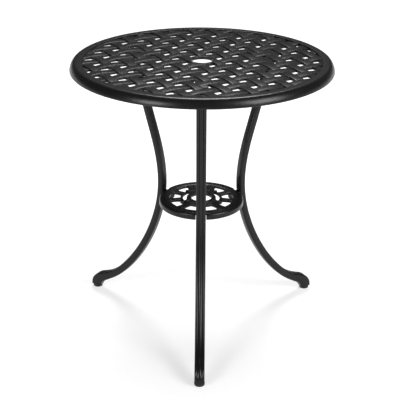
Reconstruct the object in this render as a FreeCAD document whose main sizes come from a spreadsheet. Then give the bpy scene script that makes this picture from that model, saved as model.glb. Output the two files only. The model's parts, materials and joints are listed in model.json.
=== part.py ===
import FreeCAD, Part
import Sketcher
import math
import os
import re

from FreeCAD import Placement, Rotation, Vector

# Round umbrella table in cast aluminium: a woven top, three S-shaped legs, an openwork shelf
# at their waist, and a levelling glide under each foot.
# Frame: +Z up, origin on the floor under the umbrella hole, millimetres.
# In a leg's own frame X points outwards from the table's axis and Y runs across the leg.

DRIVING_SIZES = {
    # whole table
    "table_height": 674.0,
    "top_radius": 305.0,
    # tabletop rim, a hollow channel whose shoulder rolls over into a rounder face
    "rim_width": 29.0,
    "rim_depth": 20.5,
    "rim_shoulder": 11.0,
    "rim_face": 26.0,
    "rim_wall": 4.5,
    "rim_collar": 7.0,
    "rim_edge": 1.2,
    # tabletop weave
    "weave_pitch": 45.0,
    "strip_width": 22.5,
    "weave_drop": 1.2,
    "weave_relief": 2.2,
    "weave_edge": 4.8,
    "weave_turn": 30.0,
    "weave_overlap": 2.0,
    # umbrella hole
    "pole_hole_radius": 25.4,
    "pole_hub_wall": 9.0,
    # pads under the top, one for each leg
    "pad_length": 72.0,
    "pad_width": 30.0,
    "pad_depth": 9.8,
    "pad_inner_radius": 132.0,
    # legs
    "first_leg_angle": -90.0,
    "leg_width": 23.2,
    "leg_depth": 15.0,
    "ankle_depth": 19.6,
    "leg_edge": 4.0,
    "leg_top_radius": 189.5,
    "leg_shoulder_radius": 174.5,
    "leg_shoulder_drop": 65.0,
    "waist_radius": 111.3,
    "waist_height": 345.0,
    "groove_width": 2.0,
    "groove_depth": 1.6,
    "groove_spacing": 9.0,
    "tab_length": 66.0,
    "tab_width": 26.0,
    "tab_thickness": 10.0,
    "tab_inner_radius": 134.0,
    # hoof foot
    "foot_radius": 318.5,
    "foot_length": 27.5,
    "knuckle_height": 46.0,
    # shelf
    "shelf_top": 328.5,
    "shelf_radius": 102.0,
    "shelf_rim_width": 24.5,
    "shelf_rim_depth": 16.0,
    "shelf_nose": 6.5,
    "shelf_wall": 5.9,
    "shelf_lip_wall": 4.5,
    "shelf_step": 0.9,
    "shelf_step_width": 6.5,
    "shelf_hole_radius": 24.8,
    "shelf_hub_wall": 10.8,
    "shelf_hub_rise": 1.2,
    "shelf_ring_radius": 44.6,
    "shelf_ring_width": 6.0,
    "shelf_ring_rise": 0.8,
    "shelf_bar_width": 15.5,
    "shelf_leg_bar_width": 19.0,
    "shelf_cross_width": 8.5,
    "shelf_tip_radius": 56.5,
    "shelf_panel_width": 65.0,
    # seat of the shelf on each leg, and the shelf's lug with a recess for the screw's head
    "seat_radius": 96.0,
    "seat_width": 18.0,
    "seat_height": 16.0,
    "seat_drop": 5.0,
    "notch_clearance": 4.0,
    "lug_thickness": 15.0,
    "lug_recess": 5.4,
    # M6 screws and their washers
    "screw_radius": 3.0,
    "screw_head_radius": 5.0,
    "screw_head_height": 4.0,
    "screw_key_radius": 2.3,
    "screw_key_depth": 2.4,
    "screw_grip": 8.0,
    "screw_hole_clearance": 0.3,
    "thread_clearance": 0.04,
    "thread_runout": 2.0,
    "screw_spacing": 22.0,
    "screw_inset": 12.0,
    "washer_radius": 6.0,
    "washer_thickness": 1.2,
    # threaded insert, stud and pad of the levelling glides
    "stud_radius": 4.0,
    "stud_length": 20.0,
    "stud_key_radius": 2.3,
    "stud_key_depth": 4.0,
    "stud_flange_radius": 6.5,
    "stud_flange_thickness": 2.0,
    "insert_wall": 1.6,
    "insert_length": 18.0,
    "glide_radius": 12.2,
    "glide_height": 8.0,
    "glide_floor": 1.5,
    "glide_edge": 3.0,
    "glide_access_radius": 3.0,
    "running_clearance": 0.06,
    "glide_gap": 0.3,
}

LEG_NAMES = ("front", "right", "left")
LEG_COUNT = len(LEG_NAMES)
SHELF_BAYS = 9
CROSS_BAYS = (-3, -1, 1, 3)
TOP_SCREW_COUNT = 2
HEX_SIDES = 6

# share of the way from the leg's own depth to the ankle's, at each station of its centreline
LEG_GROWTH = (0, 0, 0, 0.05, 0.13, 0.4, 0.65, 0.87, 1)

doc = FreeCAD.newDocument("umbrella_table")
sheet = doc.addObject("Spreadsheet::Sheet", "Sizes")


def fill_sheet():
    for row, (alias, number) in enumerate(DRIVING_SIZES.items(), start=1):
        sheet.set(f"A{row}", alias.replace("_", " "))
        sheet.set(f"B{row}", str(number))
        sheet.setAlias(f"B{row}", alias)
    doc.recompute()


def size(formula):
    # value of a formula written with the names of the sheet
    found = sheet.evalExpression(formula)
    return float(getattr(found, "Value", found))


def bound(formula):
    # the same formula as other objects of the document have to write it
    return re.sub(r"[a-z]\w*", lambda word: f"Sizes.{word.group()}"
                  if word.group() in DRIVING_SIZES else word.group(), formula)


def bind(thing, **formulas):
    for name, formula in formulas.items():
        thing.setExpression(name, bound(formula))


# Sketches, bodies and primitives

def new_body(label):
    body = doc.addObject("PartDesign::Body", label)
    body.Label = label
    return body


def base_plane(body, role):
    return next(plane for plane in body.Origin.OriginFeatures if plane.Role == role)


def new_sketch(body, name, role, offset=None):
    sketch = body.newObject("Sketcher::SketchObject", name)
    sketch.AttachmentSupport = [(base_plane(body, role), "")]
    sketch.MapMode = "FlatFace"
    if offset is not None:
        sketch.AttachmentOffset = Placement(Vector(0, 0, offset), Rotation())
    return sketch


def place_point(sketch, geometry, vertex, corner):
    # ties one corner of an outline to its two formulas, measured from the sketch's origin
    for kind, axis, formula in (("DistanceX", -2, corner[0]), ("DistanceY", -1, corner[1])):
        if abs(size(formula)) < 1e-6:
            sketch.addConstraint(Sketcher.Constraint("PointOnObject", geometry, vertex, axis))
            continue
        row = sketch.addConstraint(
            Sketcher.Constraint(kind, -1, 1, geometry, vertex, size(formula)))
        sketch.setExpression(f"Constraints[{row}]", bound(formula))


def add_side(sketch, start, end, radius):
    # straight side, or an arc that turns left on its way from start to end, or right where the
    # radius is negative; returns its number and which of its own ends lie at start and end
    if radius is None:
        return sketch.addGeometry(Part.LineSegment(start, end), False), 1, 2
    chord = end - start
    rise = math.sqrt(max(radius ** 2 - chord.Length ** 2 / 4, 0.0))
    left = Vector(-chord.y, chord.x, 0).normalize() * math.copysign(1, radius)
    centre = (start + end) / 2 + left * rise
    circle = Part.Circle(centre, Vector(0, 0, 1), abs(radius))
    first, last = (start, end) if radius > 0 else (end, start)
    arc = Part.ArcOfCircle(circle, circle.parameter(first), circle.parameter(last))
    side = sketch.addGeometry(arc, False)
    return (side, 1, 2) if radius > 0 else (side, 2, 1)


def draw_outline(sketch, corners):
    # closed outline, counterclockwise, through corners given as pairs of formulas; a third
    # formula makes the side that leaves the corner an arc of that radius
    points = [Vector(size(corner[0]), size(corner[1]), 0) for corner in corners]
    sides = []
    for index, corner in enumerate(corners):
        radius = size(corner[2]) if len(corner) > 2 else None
        following = points[(index + 1) % len(points)]
        sides.append(add_side(sketch, points[index], following, radius))
    for index, (side, first, last) in enumerate(sides):
        following, following_first, _ = sides[(index + 1) % len(sides)]
        sketch.addConstraint(
            Sketcher.Constraint("Coincident", side, last, following, following_first))
        place_point(sketch, side, first, corners[index])
        if len(corners[index]) > 2:
            formula = f"abs({corners[index][2]})"
            row = sketch.addConstraint(Sketcher.Constraint("Radius", side, size(formula)))
            sketch.setExpression(f"Constraints[{row}]", bound(formula))


def draw_circle(sketch, radius, across="0"):
    circle = sketch.addGeometry(
        Part.Circle(Vector(size(across), 0, 0), Vector(0, 0, 1), size(radius)), False)
    place_point(sketch, circle, 3, (across, "0"))
    row = sketch.addConstraint(Sketcher.Constraint("Radius", circle, size(radius)))
    sketch.setExpression(f"Constraints[{row}]", bound(radius))


def draw_hexagon(sketch, radius):
    turns = [math.radians(360 * side / HEX_SIDES) for side in range(HEX_SIDES)]
    draw_outline(sketch, [(f"{radius} * {math.cos(turn):.6f}", f"{radius} * {math.sin(turn):.6f}")
                          for turn in turns])


def revolve(body, name, corners):
    sketch = new_sketch(body, f"{name}_profile", "XZ_Plane")
    draw_outline(sketch, corners)
    feature = body.newObject("PartDesign::Revolution", name)
    feature.Profile = sketch
    feature.ReferenceAxis = (sketch, ["V_Axis"])
    feature.Angle = 360
    doc.recompute()
    return feature


def pocket(body, name, sketch, depth, reverse=False):
    before = body.Shape.Volume
    feature = body.newObject("PartDesign::Pocket", name)
    feature.Profile = sketch
    feature.Reversed = reverse
    bind(feature, Length=depth)
    doc.recompute()
    if body.Shape.Volume > before - 1e-3:
        raise RuntimeError(f"{name} cuts nothing")
    return feature


def edges_where(shape, test):
    return [f"Edge{index}" for index, edge in enumerate(shape.Edges, start=1) if test(edge)]


def is_circle(edge, radius, height):
    curve = edge.Curve
    return (isinstance(curve, Part.Circle) and abs(curve.Radius - radius) < 1e-3
            and abs(curve.Center.z - height) < 1e-3)


def round_edges(body, name, base, names, radius):
    feature = body.newObject("PartDesign::Fillet", name)
    feature.Base = (base, names)
    bind(feature, Radius=radius)
    doc.recompute()
    return feature


def cylinder(name, radius, height, place=None):
    solid = doc.addObject("Part::Cylinder", name)
    bind(solid, Radius=radius, Height=height)
    solid.Placement = place or Placement()
    return solid


def block(name, length, width, height, corner, turn=0.0):
    # box centred across its width, from corner (along, height) in a frame turned about Z
    solid = doc.addObject("Part::Box", name)
    bind(solid, Length=length, Width=width, Height=height)
    start = Vector(size(corner[0]), -size(width) / 2, size(corner[1]))
    solid.Placement = turned(turn) * Placement(start, Rotation())
    return solid


def fuse(name, solids):
    joined = doc.addObject("Part::MultiFuse", name)
    joined.Shapes = solids
    joined.Refine = True
    return joined


def cut(name, base, tools):
    tool = tools[0] if len(tools) == 1 else fuse(f"{name}_tools", tools)
    result = doc.addObject("Part::Cut", name)
    result.Base = base
    result.Tool = tool
    result.Refine = True
    result.Label = name
    return result


# Places

def turned(angle):
    return Placement(Vector(), Rotation(Vector(0, 0, 1), angle))


def leg_angle(index):
    return size("first_leg_angle") + index * 360 / LEG_COUNT


def leg_angles():
    return {name: leg_angle(index) for index, name in enumerate(LEG_NAMES)}


def upright(radius, height, turn=0.0):
    # a place at a distance from the table's axis, standing up
    return turned(turn) * Placement(Vector(size(radius), 0, size(height)), Rotation())


def outward(radius, height, turn=0.0):
    # the same place with the piece's Z axis pointing away from the table's axis
    return turned(turn) * Placement(Vector(size(radius), 0, size(height)),
                                    Rotation(Vector(0, 1, 0), 90))


WEAVE_TOP = "table_height - weave_drop"
WEAVE_BOTTOM = "table_height - weave_drop - weave_relief - weave_edge"
PAD_BOTTOM = f"{WEAVE_BOTTOM} - pad_depth"
TAB_BOTTOM = f"{PAD_BOTTOM} - tab_thickness"
RIM_INNER = "top_radius - rim_width"
RIM_COLLAR = f"{RIM_INNER} + rim_collar"
RIM_LOW = "table_height - rim_depth"
FACE_CENTRE = "top_radius - rim_face"
SHOULDER_OFFSET = "sqrt((rim_face - rim_shoulder) ^ 2 - (rim_depth - rim_shoulder) ^ 2)"
SHOULDER_CENTRE = f"{FACE_CENTRE} + {SHOULDER_OFFSET}"
TAB_SCREW = "tab_inner_radius + screw_inset"
SCREW_HOLE = "screw_radius + screw_hole_clearance"
THREAD_HOLE = "screw_radius + thread_clearance"
SHELF_INNER = "shelf_radius - shelf_rim_width"
SHELF_ROOF = "shelf_top - shelf_wall"
SEAT_BOTTOM = "shelf_top - seat_drop - seat_height"
SEAT_SCREW = "shelf_top - seat_drop - seat_height / 2"
FOOT_BOTTOM = "glide_height + glide_gap"
INSERT_RADIUS = "stud_radius + insert_wall"


# Tabletop casting

def rim_junction(radius):
    # point where the shoulder's arc passes into the face's arc, at a distance from the centre
    # of the face
    share = f"({radius}) / (rim_face - rim_shoulder)"
    return (f"{FACE_CENTRE} + {SHOULDER_OFFSET} * {share}",
            f"{RIM_LOW} + (rim_depth - rim_shoulder) * {share}")


def tabletop_rim():
    body = new_body("tabletop_rim")
    ring = revolve(body, "rim_ring", [
        (RIM_INNER, WEAVE_BOTTOM),
        (RIM_COLLAR, WEAVE_BOTTOM),
        (RIM_COLLAR, "table_height - rim_wall"),
        (SHOULDER_CENTRE, "table_height - rim_wall", "rim_wall - rim_shoulder"),
        (*rim_junction("rim_face - rim_wall"), "rim_wall - rim_face"),
        ("top_radius - rim_wall", RIM_LOW),
        ("top_radius", RIM_LOW, "rim_face"),
        (*rim_junction("rim_face"), "rim_shoulder"),
        (SHOULDER_CENTRE, "table_height"),
        (RIM_INNER, "table_height"),
    ])
    low = size(RIM_LOW)
    lips = edges_where(ring.Shape, lambda edge: is_circle(edge, size("top_radius"), low)
                       or is_circle(edge, size("top_radius - rim_wall"), low)
                       or is_circle(edge, size(RIM_INNER), size("table_height")))
    round_edges(body, "rim_lips", ring, lips, "rim_edge")
    return body


def strip_arch():
    # one visible run of a strip, from where it dives under one crossing strip to the next
    half = size("(weave_pitch + strip_width) / 2")
    width = size("strip_width")
    low = size(WEAVE_BOTTOM)
    end = size("table_height - weave_drop - weave_relief")
    corners = [Vector(half, -width / 2, end), Vector(half, -width / 2, low),
               Vector(-half, -width / 2, low), Vector(-half, -width / 2, end)]
    crest = Part.Arc(corners[3], Vector(0, -width / 2, size(WEAVE_TOP)), corners[0]).toShape()
    side = Part.Face(Part.Wire([Part.makePolygon(corners).Edges[0],
                                Part.makePolygon(corners).Edges[1],
                                Part.makePolygon(corners).Edges[2], crest]))
    return side.extrude(Vector(0, width, 0))


def weave_arches():
    # plain weave: at every crossing one strip is over, the other way round at the next one
    pitch = size("weave_pitch")
    reach = size(f"{RIM_INNER} + weave_overlap")
    arch = strip_arch()
    span = math.hypot(size("weave_pitch + strip_width"), size("strip_width")) / 2
    disc = Part.makeCylinder(reach, size("table_height"))
    rows = math.ceil(reach / pitch) + 1
    arches = []
    for across in range(-rows, rows):
        for along in range(-rows, rows):
            centre = Vector((across + 0.5) * pitch, (along + 0.5) * pitch, 0)
            if centre.Length - span >= reach:
                continue
            quarter = 90 * ((across + along) % 2)
            piece = arch.copy()
            piece.Placement = Placement(centre, Rotation(Vector(0, 0, 1), quarter))
            if centre.Length + span > reach:
                piece = piece.common(disc)
            arches.extend(piece.Solids)
    return arches


def tabletop_weave():
    arches = weave_arches()
    weave = doc.addObject("Part::Feature", "tabletop_weave")
    weave.Shape = arches[0].multiFuse(arches[1:]).removeSplitter()
    weave.Placement = turned(size("weave_turn"))
    return weave


def tabletop():
    hub_height = "weave_relief + weave_edge"
    hub = cylinder("pole_hub", "pole_hole_radius + pole_hub_wall", hub_height,
                   upright("0", WEAVE_BOTTOM))
    pole_hole = cylinder("pole_hole", "pole_hole_radius", "rim_depth",
                         upright("0", "table_height - rim_depth"))
    solids = [tabletop_rim(), tabletop_weave(), hub]
    holes = [pole_hole]
    for name, angle in leg_angles().items():
        solids.append(block(f"pad_{name}", "pad_length", "pad_width",
                            "pad_depth + weave_edge", ("pad_inner_radius", PAD_BOTTOM), angle))
        for index in range(TOP_SCREW_COUNT):
            hole = cylinder(f"pad_hole_{name}_{index}", THREAD_HOLE, "pad_depth")
            hole.Placement = upright(f"{TAB_SCREW} + {index} * screw_spacing", PAD_BOTTOM, angle)
            holes.append(hole)
    return cut("tabletop", fuse("tabletop_blank", solids), holes)


# Legs

def leg_stations():
    # centreline of the leg from its tab down to the hoof, as (distance from axis, height)
    top = size(TAB_BOTTOM)
    waist = Vector(size("waist_radius"), size("waist_height"), 0)
    upper = Vector(size("leg_shoulder_radius"), size("table_height - leg_shoulder_drop"), 0)
    foot = size("foot_radius")
    rise = upper.y - waist.y
    flare = upper.x - waist.x
    reach = foot - waist.x
    return [
        Vector(size("leg_top_radius"), top + 2, 0),
        upper,
        Vector(waist.x + 0.587 * flare, waist.y + 0.675 * rise, 0),
        Vector(waist.x + 0.18 * flare, waist.y + 0.345 * rise, 0),
        waist,
        Vector(waist.x + 0.106 * reach, 0.68 * waist.y, 0),
        Vector(waist.x + 0.29 * reach, 0.45 * waist.y, 0),
        Vector(waist.x + 0.552 * reach, 0.243 * waist.y, 0),
        Vector(waist.x + 0.746 * reach, 0.146 * waist.y, 0),
    ]


def smooth(points, **ends):
    curve = Part.BSplineCurve()
    curve.interpolate(points, **ends)
    return curve


def beside(points, offsets):
    # the same stations moved square to the centreline, outwards where their offset is positive
    centreline = smooth(points)
    moved = []
    for point, offset in zip(points, offsets):
        tangent = centreline.tangent(centreline.parameter(point))[0]
        moved.append(point + Vector(-tangent.y, tangent.x, 0) * offset)
    return moved


def half_depths():
    # half of the leg's depth at each station
    slim = size("leg_depth") / 2
    deep = size("ankle_depth") / 2
    return [slim + (deep - slim) * share for share in LEG_GROWTH]


def outer_contour():
    # outside of the leg, over the knuckle and down the front of the hoof
    knuckle = size("knuckle_height")
    toe = size("foot_radius + foot_length / 2")
    over = [
        Vector(toe - 37, knuckle + 2, 0),
        Vector(toe - 23, knuckle - 3, 0),
        Vector(toe - 9, knuckle - 13.5, 0),
        Vector(toe - 2, knuckle - 26.5, 0),
        Vector(toe - 1, size(FOOT_BOTTOM), 0),
    ]
    return beside(leg_stations(), half_depths()) + over


def inner_contour():
    # inside of the leg, down to the back of the hoof
    knuckle = size("knuckle_height")
    heel = size("foot_radius - foot_length / 2")
    under = [
        Vector(heel - 16, knuckle - 20.5, 0),
        Vector(heel - 4, knuckle - 30.3, 0),
        Vector(heel, size(FOOT_BOTTOM), 0),
    ]
    return beside(leg_stations(), [-half for half in half_depths()]) + under


def leg_side():
    # the leg seen from its side, drawn in the XZ plane
    outer = smooth(outer_contour())
    inner = smooth(inner_contour())
    top = Part.LineSegment(inner.StartPoint, outer.StartPoint)
    bottom = Part.LineSegment(outer.EndPoint, inner.EndPoint)
    return [outer, bottom, inner, top]


def leg_bar(name):
    body = new_body(f"leg_bar_{name}")
    sketch = new_sketch(body, f"leg_side_{name}", "XZ_Plane")
    sketch.addGeometry(leg_side(), False)
    pad = body.newObject("PartDesign::Pad", f"leg_pad_{name}")
    pad.Profile = sketch
    pad.Midplane = True
    bind(pad, Length="leg_width")
    doc.recompute()
    long_edges = edges_where(pad.Shape, lambda edge: isinstance(edge.Curve, Part.BSplineCurve))
    round_edges(body, f"leg_edges_{name}", pad, long_edges, "leg_edge")
    return body


def groove_side(sketch):
    # band just under the outer face, from the tab to the knuckle
    run = outer_contour()[:-3]
    above = smooth(beside(run, [1.0] * len(run)))
    below = smooth(beside(run, [-size("groove_depth")] * len(run)))
    sketch.addGeometry([above, below, Part.LineSegment(above.StartPoint, below.StartPoint),
                        Part.LineSegment(above.EndPoint, below.EndPoint)], False)


def reed(body, name):
    # two grooves leave three reeds along the outer face
    for index, side in enumerate((-0.5, 0.5)):
        sketch = new_sketch(body, f"groove_side_{name}_{index}", "XZ_Plane",
                            side * size("groove_spacing"))
        groove_side(sketch)
        before = body.Shape.Volume
        feature = body.newObject("PartDesign::Pocket", f"groove_{name}_{index}")
        feature.Profile = sketch
        feature.Midplane = True
        bind(feature, Length="groove_width")
        doc.recompute()
        if body.Shape.Volume > before - 1:
            raise RuntimeError(f"groove {index} of the {name} leg cuts nothing")


def leg(name, angle):
    bar = leg_bar(name)
    reed(bar, name)
    tab = block(f"tab_{name}", "tab_length", "tab_width", "tab_thickness",
                ("tab_inner_radius", TAB_BOTTOM))
    seat = block(f"seat_{name}", "waist_radius - seat_radius", "seat_width", "seat_height",
                 ("seat_radius", SEAT_BOTTOM))
    holes = [
        cylinder(f"seat_thread_{name}", THREAD_HOLE, "screw_grip + thread_runout",
                 outward("seat_radius", SEAT_SCREW)),
        cylinder(f"foot_bore_{name}", f"{INSERT_RADIUS} + thread_clearance", "insert_length",
                 upright("foot_radius", FOOT_BOTTOM)),
    ]
    for index in range(TOP_SCREW_COUNT):
        holes.append(cylinder(
            f"tab_hole_{name}_{index}", SCREW_HOLE, "tab_thickness",
            upright(f"{TAB_SCREW} + {index} * screw_spacing", TAB_BOTTOM)))
    result = cut(f"leg_{name}", fuse(f"leg_blank_{name}", [bar, tab, seat]), holes)
    result.Placement = turned(angle)
    return result


# Shelf

def shelf_rim():
    body = new_body("shelf_rim")
    bottom = "shelf_top - shelf_rim_depth"
    flat = "shelf_top - shelf_step"
    ring = revolve(body, "shelf_rim_ring", [
        (SHELF_INNER, SHELF_ROOF),
        ("shelf_radius - shelf_lip_wall", SHELF_ROOF),
        ("shelf_radius - shelf_lip_wall", bottom),
        ("shelf_radius", bottom),
        ("shelf_radius", "shelf_top - shelf_nose", "shelf_nose"),
        ("shelf_radius - shelf_nose", "shelf_top"),
        (f"{SHELF_INNER} + shelf_step_width", "shelf_top"),
        (f"{SHELF_INNER} + shelf_step_width", flat),
        (SHELF_INNER, flat),
    ])
    lips = edges_where(ring.Shape, lambda edge: is_circle(edge, size("shelf_radius"), size(bottom))
                       or is_circle(edge, size(SHELF_INNER), size(flat)))
    round_edges(body, "shelf_lips", ring, lips, "rim_edge")
    return body


def ring(name, inner, wall, rise):
    # flat ring standing on the level of the shelf's underside
    outside = cylinder(f"{name}_outside", f"{inner} + {wall}", f"shelf_wall + {rise}",
                       upright("0", SHELF_ROOF))
    inside = cylinder(f"{name}_inside", inner, f"shelf_wall + {rise}", upright("0", SHELF_ROOF))
    return cut(name, outside, [inside])


def bar(name, start, end, width, height, angle):
    # straight bar of the openwork, from one radius to another
    return block(name, f"{end} - {start}", width, height, (start, SHELF_ROOF), angle)


def rear_panel():
    # plain panel between the ring and the rim, opposite the first leg
    middle = "shelf_ring_radius + shelf_ring_width / 2"
    panel = block("rear_panel_plate", f"{SHELF_INNER} + rim_edge - shelf_ring_radius / 2",
                  "shelf_panel_width", "shelf_wall - shelf_step - rim_edge",
                  ("shelf_ring_radius / 2", SHELF_ROOF), size("first_leg_angle") + 180)
    hole = cylinder("rear_panel_hole", middle, "shelf_wall", upright("0", SHELF_ROOF))
    return cut("rear_panel", panel, [hole])


def shelf_openwork():
    hub = ring("shelf_hub", "shelf_hole_radius", "shelf_hub_wall", "shelf_hub_rise")
    middle = ring("shelf_ring", "shelf_ring_radius", "shelf_ring_width", "shelf_ring_rise")
    bars = [hub, middle, rear_panel()]
    start = size("first_leg_angle")
    bay = 360 / SHELF_BAYS
    for index in range(SHELF_BAYS):
        width = "shelf_bar_width" if index % LEG_COUNT else "shelf_leg_bar_width"
        bars.append(bar(f"shelf_bar_{index}", "shelf_ring_radius + shelf_ring_width / 2",
                        f"({SHELF_INNER} + rim_edge)", width, "shelf_wall - shelf_step",
                        start + index * bay))
    for index, bays in enumerate(CROSS_BAYS):
        bars.append(bar(f"shelf_cross_{index}", "(shelf_hole_radius + shelf_hub_wall / 2)",
                        "shelf_tip_radius", "shelf_cross_width", "shelf_wall",
                        start + 180 + bays * bay))
    return bars


def shelf():
    solids = [shelf_rim()] + shelf_openwork()
    gaps = []
    lug_start = "seat_radius - lug_thickness"
    for name, angle in leg_angles().items():
        solids.append(block(f"lug_{name}", "lug_thickness", "seat_width",
                            "seat_height", (lug_start, SEAT_BOTTOM), angle))
        gaps.append(block(f"notch_{name}", "shelf_radius - seat_radius + rim_edge",
                          "seat_width + 2 * notch_clearance", "2 * shelf_rim_depth",
                          ("seat_radius", "shelf_top - 1.5 * shelf_rim_depth"), angle))
        hole = cylinder(f"lug_hole_{name}", SCREW_HOLE, "lug_thickness")
        hole.Placement = outward(lug_start, SEAT_SCREW, angle)
        recess = cylinder(f"lug_recess_{name}", "washer_radius + screw_hole_clearance",
                          "lug_recess")
        recess.Placement = hole.Placement
        gaps.extend([hole, recess])
    return cut("shelf", fuse("shelf_blank", solids), gaps)


# Screws and washers

def screw_body(label, shank_length, count=1):
    # button head at the bottom, shank upwards, and a hexagonal recess in the head
    body = new_body(label)
    revolve(body, f"{label}_turned", [
        ("0", "0"),
        ("screw_head_radius", "0"),
        ("screw_head_radius", "screw_head_height"),
        ("screw_radius", "screw_head_height"),
        ("screw_radius", f"screw_head_height + {shank_length}"),
        ("0", f"screw_head_height + {shank_length}"),
    ])
    recess = new_sketch(body, f"{label}_recess", "XY_Plane")
    draw_hexagon(recess, "screw_key_radius")
    pocket(body, f"{label}_key", recess, "screw_key_depth", reverse=True)
    repeat(body, label, count)
    return body


def washer_body(label, count=1):
    body = new_body(label)
    sketch = new_sketch(body, f"{label}_rings", "XY_Plane")
    draw_circle(sketch, "washer_radius")
    draw_circle(sketch, SCREW_HOLE)
    pad = body.newObject("PartDesign::Pad", f"{label}_disc")
    pad.Profile = sketch
    bind(pad, Length="washer_thickness")
    doc.recompute()
    repeat(body, label, count)
    return body


def repeat(body, label, count):
    # a row of loose copies, one screw spacing apart along the leg's radius
    if count == 1:
        return
    body.AllowCompound = True
    pattern = body.newObject("PartDesign::LinearPattern", f"{label}_row")
    pattern.TransformMode = "Whole shape"
    pattern.Direction = (base_axis(body, "X_Axis"), [""])
    pattern.Occurrences = count
    bind(pattern, Length=f"{count - 1} * screw_spacing")
    body.Tip = pattern
    doc.recompute()


def base_axis(body, role):
    return next(axis for axis in body.Origin.OriginFeatures if axis.Role == role)


def top_fasteners(name, angle):
    grip = "(washer_thickness + tab_thickness + screw_grip)"
    screws = screw_body(f"top_screws_{name}", grip, TOP_SCREW_COUNT)
    head = f"{TAB_BOTTOM} - washer_thickness - screw_head_height"
    screws.Placement = upright(TAB_SCREW, head, angle)
    washers = washer_body(f"top_washers_{name}", TOP_SCREW_COUNT)
    washers.Placement = upright(TAB_SCREW, f"{TAB_BOTTOM} - washer_thickness", angle)
    return [screws, washers]


def shelf_fasteners(name, angle):
    seat = "seat_radius - lug_thickness + lug_recess - washer_thickness"
    grip = "(washer_thickness + lug_thickness - lug_recess + screw_grip)"
    screw = screw_body(f"shelf_screw_{name}", grip)
    screw.Placement = outward(f"{seat} - screw_head_height", SEAT_SCREW, angle)
    washer = washer_body(f"shelf_washer_{name}")
    washer.Placement = outward(seat, SEAT_SCREW, angle)
    return [screw, washer]


# Levelling glides

def foot_insert(name, angle):
    body = new_body(f"foot_insert_{name}")
    sketch = new_sketch(body, f"foot_insert_rings_{name}", "XY_Plane")
    draw_circle(sketch, INSERT_RADIUS)
    draw_circle(sketch, "stud_radius + running_clearance")
    pad = body.newObject("PartDesign::Pad", f"foot_insert_sleeve_{name}")
    pad.Profile = sketch
    bind(pad, Length="insert_length")
    doc.recompute()
    body.Placement = upright("foot_radius", FOOT_BOTTOM, angle)
    return body


def glide_stud(name, angle):
    body = new_body(f"glide_stud_{name}")
    revolve(body, f"glide_stud_turned_{name}", [
        ("0", "0"),
        ("stud_flange_radius", "0"),
        ("stud_flange_radius", "stud_flange_thickness"),
        ("stud_radius", "stud_flange_thickness"),
        ("stud_radius", "stud_flange_thickness + stud_length"),
        ("0", "stud_flange_thickness + stud_length"),
    ])
    recess = new_sketch(body, f"glide_stud_recess_{name}", "XY_Plane")
    draw_hexagon(recess, "stud_key_radius")
    pocket(body, f"glide_stud_key_{name}", recess, "stud_key_depth", reverse=True)
    body.Placement = upright("foot_radius", "glide_floor + running_clearance", angle)
    return body


def glide_pad(name, angle):
    # the flange of the stud turns in a pocket inside the pad
    body = new_body(f"glide_pad_{name}")
    pocket_top = "glide_floor + stud_flange_thickness + 2 * running_clearance"
    ring = revolve(body, f"glide_pad_turned_{name}", [
        ("glide_access_radius", "0"),
        ("glide_radius", "0"),
        ("glide_radius", "glide_height"),
        ("stud_radius + running_clearance", "glide_height"),
        ("stud_radius + running_clearance", pocket_top),
        ("stud_flange_radius + running_clearance", pocket_top),
        ("stud_flange_radius + running_clearance", "glide_floor"),
        ("glide_access_radius", "glide_floor"),
    ])
    rims = edges_where(ring.Shape, lambda edge: is_circle(edge, size("glide_radius"), 0.0))
    round_edges(body, f"glide_pad_edge_{name}", ring, rims, "glide_edge")
    body.Placement = upright("foot_radius", "0", angle)
    return body


# Whole table

def build():
    parts = [tabletop(), shelf()]
    for name, angle in leg_angles().items():
        parts.append(leg(name, angle))
        parts.extend(top_fasteners(name, angle))
        parts.extend(shelf_fasteners(name, angle))
        parts.extend([foot_insert(name, angle), glide_stud(name, angle), glide_pad(name, angle)])
    doc.recompute()
    return parts


def check(parts):
    for thing in doc.Objects:
        if {"Invalid", "Error"} & set(thing.State):
            raise RuntimeError(f"{thing.Label} failed: {thing.State}")
    for part in parts:
        if part.Shape.isNull() or not part.Shape.isValid() or not part.Shape.Solids:
            raise RuntimeError(f"{part.Label} has no valid solid")


def write(parts):
    os.makedirs("parts", exist_ok=True)
    for part in parts:
        part.Shape.exportStep(f"parts/{part.Label}.step")
        print(part.Label, len(part.Shape.Solids), round(part.Shape.Volume))


fill_sheet()
table_parts = build()
check(table_parts)
write(table_parts)
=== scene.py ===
"""Looks of a round umbrella table in cast aluminium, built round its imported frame.

The castings are rebuilt with the rounding a cast and powder-coated piece has: the woven top and
its rolled rim, the three reeded legs with their hoof feet, and the openwork shelf. Sizes are in
millimetres in the table's own frame, with +Z up and the origin on the floor under the umbrella
hole. In a leg's own frame X points away from the table's axis.
"""

import json
import logging
import math
from dataclasses import dataclass
from enum import Enum
from typing import Any, Iterable, Sequence

import bmesh
import bpy
from mathutils import Matrix, Vector

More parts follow.
